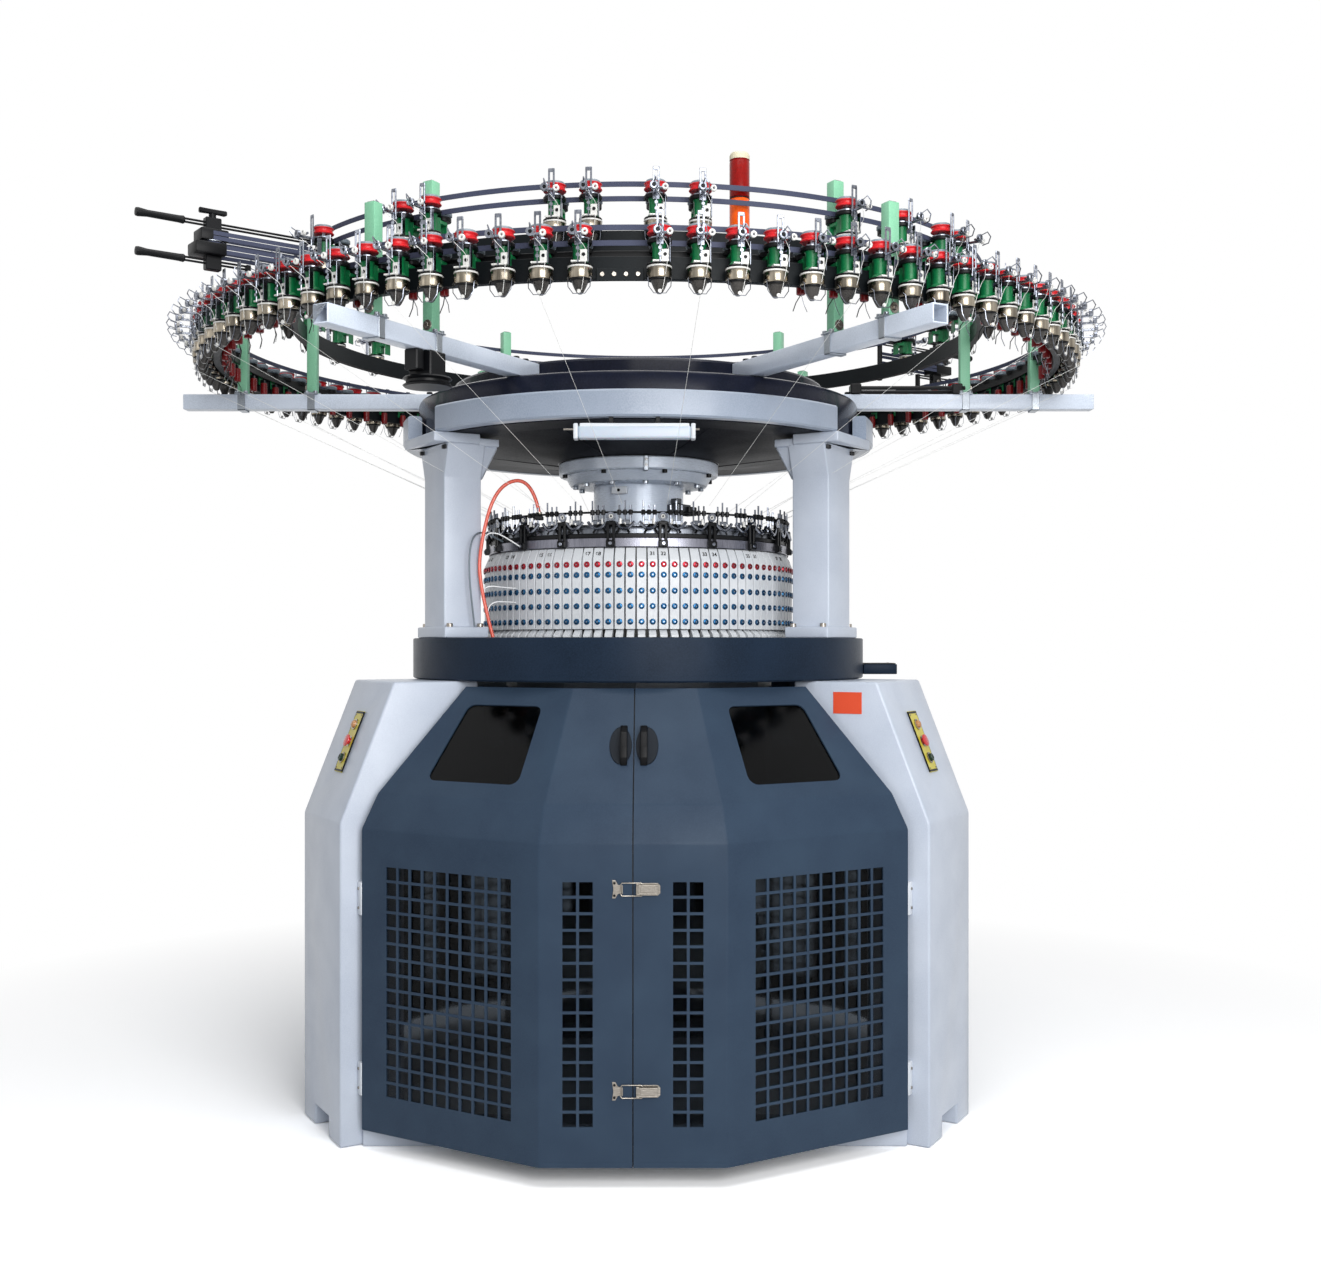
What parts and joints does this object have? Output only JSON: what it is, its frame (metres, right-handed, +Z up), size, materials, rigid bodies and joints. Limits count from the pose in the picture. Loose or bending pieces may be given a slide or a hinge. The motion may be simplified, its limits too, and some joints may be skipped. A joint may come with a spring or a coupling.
{
  "type": "circular knitting machine",
  "caption": "Large floor-standing circular knitting machine: three-legged guarded base, round bed, knitting head, top drum and a two-tier yarn feeder ring on radial arms.",
  "frame": {"origin": "the needle cylinder's axis where it meets the floor", "axes": "+Z up along the needle cylinder's axis, -Y towards the double door, +X to the right seen from the front"},
  "size_m": [2.742, 2.7112, 2.476],
  "materials": {
    "painted_frame": "light blue-grey satin paint",
    "painted_guard": "dark slate satin paint",
    "clear_pane": "clear sheet",
    "black_plastic": "matt black",
    "white_metal": "white satin paint",
    "bright_steel": "bright plated steel",
    "plate_metal": "satin plate",
    "lamp_orange": "glossy amber",
    "button_red": "glossy red",
    "button_green": "glossy dark green",
    "bed_paint": "dark slate gloss paint",
    "drum_paint": "near-black gloss paint",
    "cast_grey": "light grey satin paint",
    "lamp_white": "white diffuser",
    "cam_steel": "satin machined",
    "needle_steel": "ground steel",
    "gear_iron": "oiled dark iron",
    "arm_paint": "grey satin paint",
    "post_paint": "pale green satin paint",
    "ring_steel": "grey satin paint",
    "feeder_green": "green moulded body",
    "belt_navy": "dark navy belt",
    "lamp_red": "translucent red",
    "roller_rubber": "black grip cover",
    "cloth_white": "off-white knitted cloth",
    "motor_grey": "blue-grey paint",
    "hose_red": "coral red hose"
  },
  "bodies": {
    "frame": {"leg_front_left": "painted_frame", "leg_front_right": "painted_frame", "leg_rear": "painted_frame", "floor_tie_beams": "painted_frame", "guard_rear_left": "painted_guard", "guard_rear_right": "painted_guard", "guard_windows": "clear_pane", "door_hinges": "white_metal", "button_plate_left": "plate_metal", "button_plate_right": "plate_metal", "bed_plate": "bed_paint", "bed_junction_box": "plate_metal", "column_front_left": "painted_frame", "column_front_right": "painted_frame", "column_rear": "painted_frame", "crown_beams": "painted_frame", "top_drum": "drum_paint", "dial_support": "cast_grey", "work_lamp": "lamp_white", "cam_boxes": "cam_steel", "yarn_guide_ring": "ring_steel", "dial_cap": "cast_grey", "drive_motor": "motor_grey", "feeder_arms": "arm_paint", "ring_posts": "post_paint", "ring_bars": "ring_steel", "outer_feeders": "feeder_green", "inner_feeders": "feeder_green", "feeder_belts": "belt_navy", "tensioner_rails": "arm_paint", "signal_lamp": "lamp_red", "hose": "hose_red"},
    "door_right": {"door_right": "painted_guard", "door_window_right": "clear_pane", "door_handle_right": "black_plastic", "latch_bases": "bright_steel"},
    "door_left": {"door_left": "painted_guard", "door_window_left": "clear_pane", "door_handle_left": "black_plastic", "latch_keepers": "bright_steel"},
    "lever_lower": {"latch_lever_lower": "bright_steel"},
    "lever_upper": {"latch_lever_upper": "bright_steel"},
    "loop_lower": {"latch_loop_lower": "bright_steel"},
    "loop_upper": {"latch_loop_upper": "bright_steel"},
    "cylinder": {"needle_cylinder": "needle_steel", "cylinder_gear": "gear_iron", "takedown_frame": "cast_grey"},
    "dial": {"dial": "needle_steel"},
    "draw_roller_front": {"draw_roller_front": "roller_rubber"},
    "draw_roller_back": {"draw_roller_back": "roller_rubber"},
    "cloth_roll": {"cloth_roll": "cloth_white"},
    "drive_pinion": {"drive_pinion": "gear_iron"},
    "tensioner_block_left": {"tensioner_block_left": "plate_metal"},
    "tensioner_block_right": {"tensioner_block_right": "plate_metal"},
    "button_lamp_left": {"button_lamp_left": "lamp_orange"},
    "button_lamp_right": {"button_lamp_right": "lamp_orange"},
    "button_stop_left": {"button_stop_left": "button_red"},
    "button_stop_right": {"button_stop_right": "button_red"},
    "button_jog_left": {"button_jog_left": "button_green"},
    "button_jog_right": {"button_jog_right": "button_green"}
  },
  "joints": [
    {"name": "door_right_hinge", "type": "hinge", "parent": "frame", "child": "door_right", "pos_m": [0.7154, -0.62089, 0.4], "axis": [0, 0, 1], "range_deg": [0, 105]},
    {"name": "door_left_hinge", "type": "hinge", "parent": "frame", "child": "door_left", "pos_m": [-0.7154, -0.62089, 0.4], "axis": [0, 0, 1], "range_deg": [-105, 0]},
    {"name": "latch_lever_lower_hinge", "type": "hinge", "parent": "door_right", "child": "lever_lower", "pos_m": [0.012, -0.9168, 0.235], "axis": [0, 0, -1], "range_deg": [0, 150]},
    {"name": "latch_loop_lower_hinge", "type": "hinge", "parent": "lever_lower", "child": "loop_lower", "pos_m": [0.024, -0.9118, 0.235], "axis": [0, 0, -1], "range_deg": [-150, 0]},
    {"name": "latch_lever_upper_hinge", "type": "hinge", "parent": "door_right", "child": "lever_upper", "pos_m": [0.012, -0.9168, 0.72], "axis": [0, 0, -1], "range_deg": [0, 150]},
    {"name": "latch_loop_upper_hinge", "type": "hinge", "parent": "lever_upper", "child": "loop_upper", "pos_m": [0.024, -0.9118, 0.72], "axis": [0, 0, -1], "range_deg": [-150, 0]},
    {"name": "cylinder_spin", "type": "hinge", "parent": "frame", "child": "cylinder", "pos_m": [0, 0, 1.3], "axis": [0, 0, 1], "continuous": true},
    {"name": "dial_spin", "type": "hinge", "parent": "frame", "child": "dial", "pos_m": [0, 0, 1.6], "axis": [0, 0, 1], "continuous": true},
    {"name": "pinion_spin", "type": "hinge", "parent": "frame", "child": "drive_pinion", "pos_m": [-0.43041, 0.2485, 1.24], "axis": [0, 0, 1], "continuous": true},
    {"name": "draw_roller_front_spin", "type": "hinge", "parent": "cylinder", "child": "draw_roller_front", "pos_m": [0, -0.031, 0.64], "axis": [1, 0, 0], "continuous": true},
    {"name": "draw_roller_back_spin", "type": "hinge", "parent": "cylinder", "child": "draw_roller_back", "pos_m": [0, 0.031, 0.64], "axis": [1, 0, 0], "continuous": true},
    {"name": "cloth_roll_spin", "type": "hinge", "parent": "cylinder", "child": "cloth_roll", "pos_m": [0, 0, 0.38], "axis": [1, 0, 0], "continuous": true},
    {"name": "button_lamp_left_press", "type": "slide", "parent": "frame", "child": "button_lamp_left", "axis": [0.804, 0.4642, -0.3716], "range_m": [0, 0.004], "stiffness_N_per_m": 600},
    {"name": "button_lamp_right_press", "type": "slide", "parent": "frame", "child": "button_lamp_right", "axis": [-0.804, 0.4642, -0.3716], "range_m": [0, 0.004], "stiffness_N_per_m": 600},
    {"name": "button_stop_left_press", "type": "slide", "parent": "frame", "child": "button_stop_left", "axis": [0.804, 0.4642, -0.3716], "range_m": [0, 0.004], "stiffness_N_per_m": 600},
    {"name": "button_stop_right_press", "type": "slide", "parent": "frame", "child": "button_stop_right", "axis": [-0.804, 0.4642, -0.3716], "range_m": [0, 0.004], "stiffness_N_per_m": 600},
    {"name": "button_jog_left_press", "type": "slide", "parent": "frame", "child": "button_jog_left", "axis": [0.804, 0.4642, -0.3716], "range_m": [0, 0.004], "stiffness_N_per_m": 600},
    {"name": "button_jog_right_press", "type": "slide", "parent": "frame", "child": "button_jog_right", "axis": [-0.804, 0.4642, -0.3716], "range_m": [0, 0.004], "stiffness_N_per_m": 600},
    {"name": "tensioner_left_slide", "type": "slide", "parent": "frame", "child": "tensioner_block_left", "axis": [0.7986, 0.6018, 0], "range_m": [0, 0.04]},
    {"name": "tensioner_right_slide", "type": "slide", "parent": "frame", "child": "tensioner_block_right", "axis": [-0.7986, -0.6018, 0], "range_m": [0, 0.04]}
  ],
  "couplings": [
    {"joint": "door_left_hinge", "follows": "door_right_hinge", "ratio": -1},
    {"joint": "latch_loop_lower_hinge", "follows": "latch_lever_lower_hinge", "ratio": -1},
    {"joint": "latch_loop_upper_hinge", "follows": "latch_lever_upper_hinge", "ratio": -1},
    {"joint": "dial_spin", "follows": "cylinder_spin", "ratio": 1},
    {"joint": "pinion_spin", "follows": "cylinder_spin", "ratio": -7.2667},
    {"joint": "draw_roller_back_spin", "follows": "draw_roller_front_spin", "ratio": -1}
  ]
}
